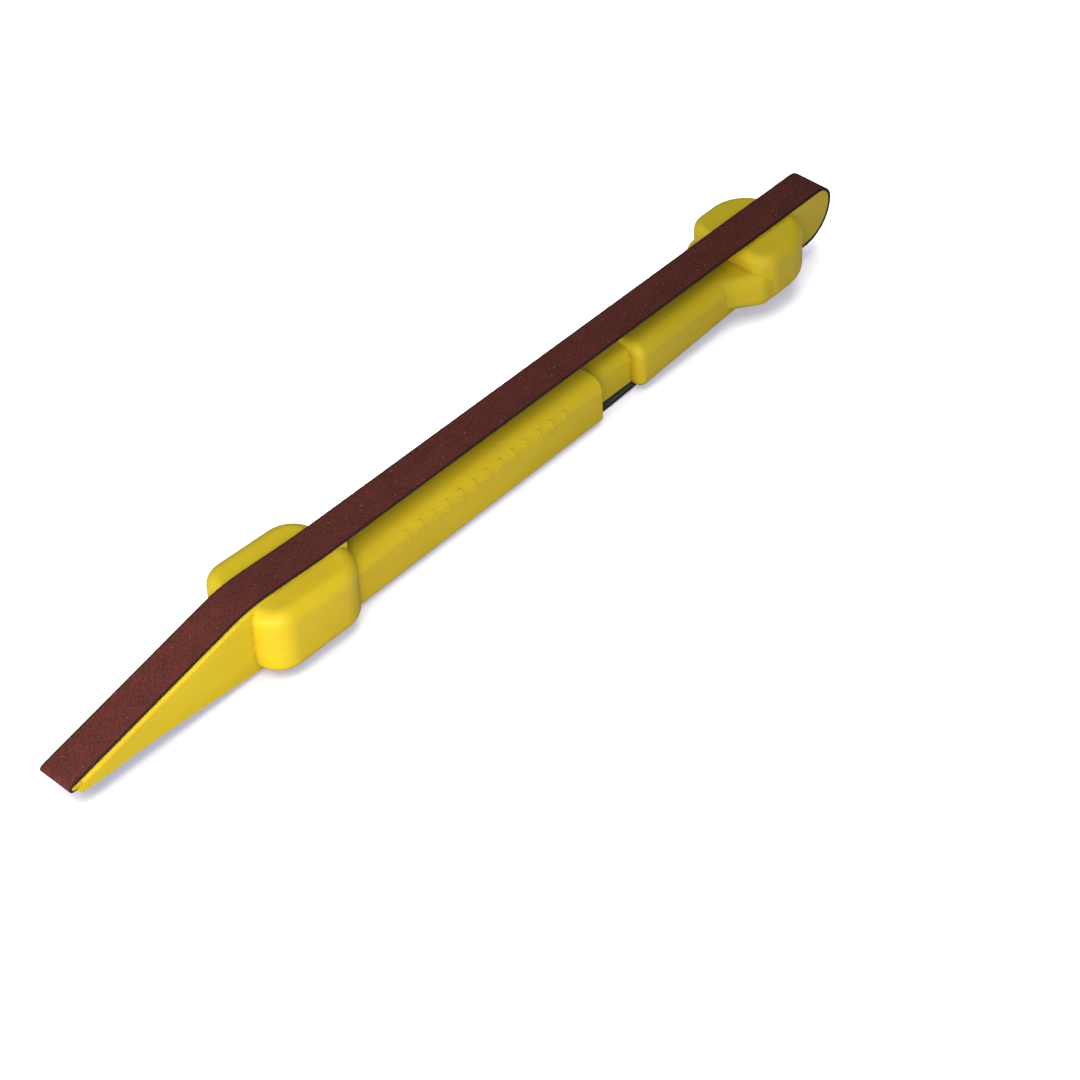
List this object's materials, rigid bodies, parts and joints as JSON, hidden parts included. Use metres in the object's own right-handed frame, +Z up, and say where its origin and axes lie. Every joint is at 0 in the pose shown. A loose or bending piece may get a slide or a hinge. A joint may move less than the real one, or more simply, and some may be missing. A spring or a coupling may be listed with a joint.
{
  "type": "sanding stick",
  "caption": "Slim plastic sanding stick with a wedge nose, two pairs of finger wings, a sprung sliding tail and a narrow abrasive belt stretched round it.",
  "frame": {"origin": "middle of the overall length and width, on the plane that the stick lies on", "axes": "+X along the stick towards the round end, +Y across it, +Z up from the lower run of the belt to the upper one"},
  "size_m": [0.1655, 0.0168, 0.0129],
  "materials": {
    "front_body": "satin yellow moulding",
    "rear_body": "satin yellow moulding",
    "tension_spring": "bright music wire",
    "belt_backing": "grey-green woven cloth",
    "belt_abrasive": "fine maroon grit",
    "belt_splice_tape": "thin bonded tape"
  },
  "bodies": {
    "front": {"front_body": "front_body", "belt_backing": "belt_backing", "belt_abrasive": "belt_abrasive", "belt_splice_tape": "belt_splice_tape", "tension_spring": "tension_spring"},
    "tail": {"rear_body": "rear_body"}
  },
  "joints": [
    {"name": "tail_squeeze", "type": "slide", "parent": "front", "child": "tail", "axis": [-1, 0, 0], "range_m": [0, 0.008], "stiffness_N_per_m": 300, "springref_m": -0.01, "deforming": ["tension_spring"]}
  ]
}
